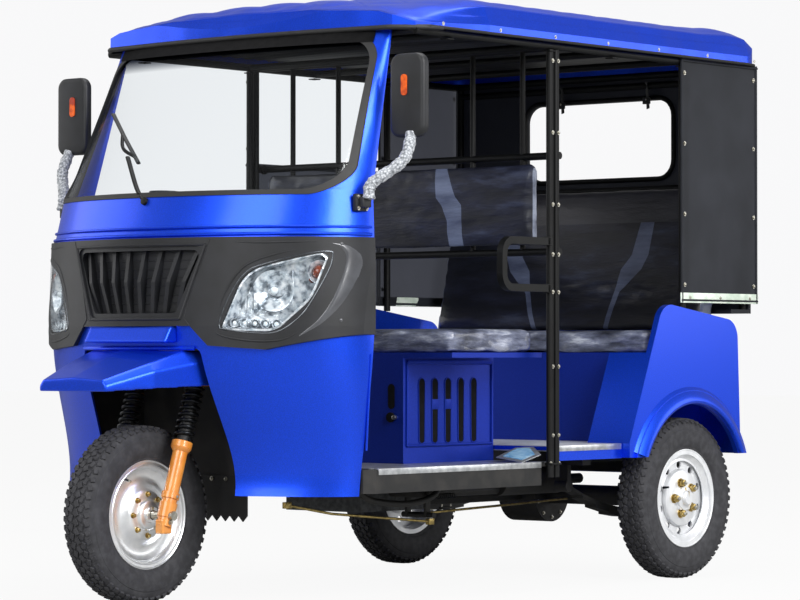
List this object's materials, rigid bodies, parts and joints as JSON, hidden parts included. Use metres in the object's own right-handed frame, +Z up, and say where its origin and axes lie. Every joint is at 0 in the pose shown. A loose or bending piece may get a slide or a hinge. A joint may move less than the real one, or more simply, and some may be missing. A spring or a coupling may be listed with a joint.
{
  "type": "auto rickshaw",
  "caption": "Three-wheeled passenger tricycle with a steel cab, a driver's bench over the engine, a rear bench behind curtains, and one front wheel on a sprung fork steered by a handlebar.",
  "frame": {"origin": "on the ground under the middle of the vehicle's bounding box", "axes": "+Z up; the nose points to -Y; +X is the vehicle's left side"},
  "size_m": [1.57, 2.685, 1.902],
  "materials": {
    "blue_paint": "satin",
    "black_plastic": "matte",
    "black_paint": "satin",
    "black_underbody": "matte",
    "lamp_chrome": "polished",
    "clear_glass": "polished",
    "lens_clear": "polished",
    "red_lens": "gloss",
    "seal_rubber": "matte",
    "tyre_rubber": "matte",
    "seat_vinyl": "satin",
    "curtain_grey": "matte",
    "fork_orange": "gloss",
    "spring_steel": "satin",
    "rim_aluminium": "polished",
    "rim_silver": "satin",
    "bright_steel": "satin",
    "engine_grey": "matte"
  },
  "bodies": {
    "chassis": {"front_cowl": "blue_paint", "front_fascia": "black_plastic", "grille": "black_plastic", "headlamps": "lamp_chrome", "headlamp_lenses": "lens_clear", "mudguard": "blue_paint", "upper_cowl": "blue_paint", "windscreen": "clear_glass", "windscreen_seal": "seal_rubber", "dashboard": "black_plastic", "wiper": "black_paint", "roof": "blue_paint", "roof_frame": "black_paint", "side_frame_left": "black_paint", "side_frame_right": "black_paint", "rear_fender_left": "blue_paint", "rear_fender_right": "blue_paint", "curtain_left": "curtain_grey", "curtain_right": "curtain_grey", "partition_frame": "black_paint", "rear_frame": "black_paint", "chassis_frame": "black_underbody", "driver_floor": "black_underbody", "passenger_floor": "blue_paint", "wheel_well": "black_underbody", "mud_flap": "seal_rubber", "driver_seat_box": "blue_paint", "driver_cushion": "seat_vinyl", "driver_backrest": "seat_vinyl", "passenger_seat_box": "blue_paint", "passenger_cushion": "seat_vinyl", "passenger_backrest": "seat_vinyl", "tail_panel": "blue_paint", "rear_wall": "curtain_grey", "tail_lamps": "red_lens", "side_guard_right": "curtain_grey", "rear_axle": "black_underbody", "leaf_springs": "black_underbody", "engine": "engine_grey", "exhaust": "black_underbody", "mirrors": "black_plastic"},
    "steering": {"fork": "fork_orange", "fork_springs": "spring_steel", "front_axle": "bright_steel", "handlebar": "black_paint"},
    "front_wheel": {"front_tyre": "tyre_rubber", "front_rim": "rim_aluminium"},
    "rear_wheel_left": {"rear_rim_left": "rim_silver", "rear_tyre_left": "tyre_rubber"},
    "rear_wheel_right": {"rear_rim_right": "rim_silver", "rear_tyre_right": "tyre_rubber"}
  },
  "joints": [
    {"name": "steering_turn", "type": "hinge", "parent": "chassis", "child": "steering", "pos_m": [0, -1.03136, 0.26076], "axis": [0, 0.309, 0.9511], "range_deg": [-40, 40]},
    {"name": "front_wheel_spin", "type": "hinge", "parent": "steering", "child": "front_wheel", "pos_m": [0, -1.0675, 0.2725], "axis": [1, 0, 0], "continuous": true},
    {"name": "rear_wheel_left_spin", "type": "hinge", "parent": "chassis", "child": "rear_wheel_left", "pos_m": [0.601, 0.9175, 0.2725], "axis": [1, 0, 0], "continuous": true},
    {"name": "rear_wheel_right_spin", "type": "hinge", "parent": "chassis", "child": "rear_wheel_right", "pos_m": [-0.601, 0.9175, 0.2725], "axis": [1, 0, 0], "continuous": true}
  ]
}
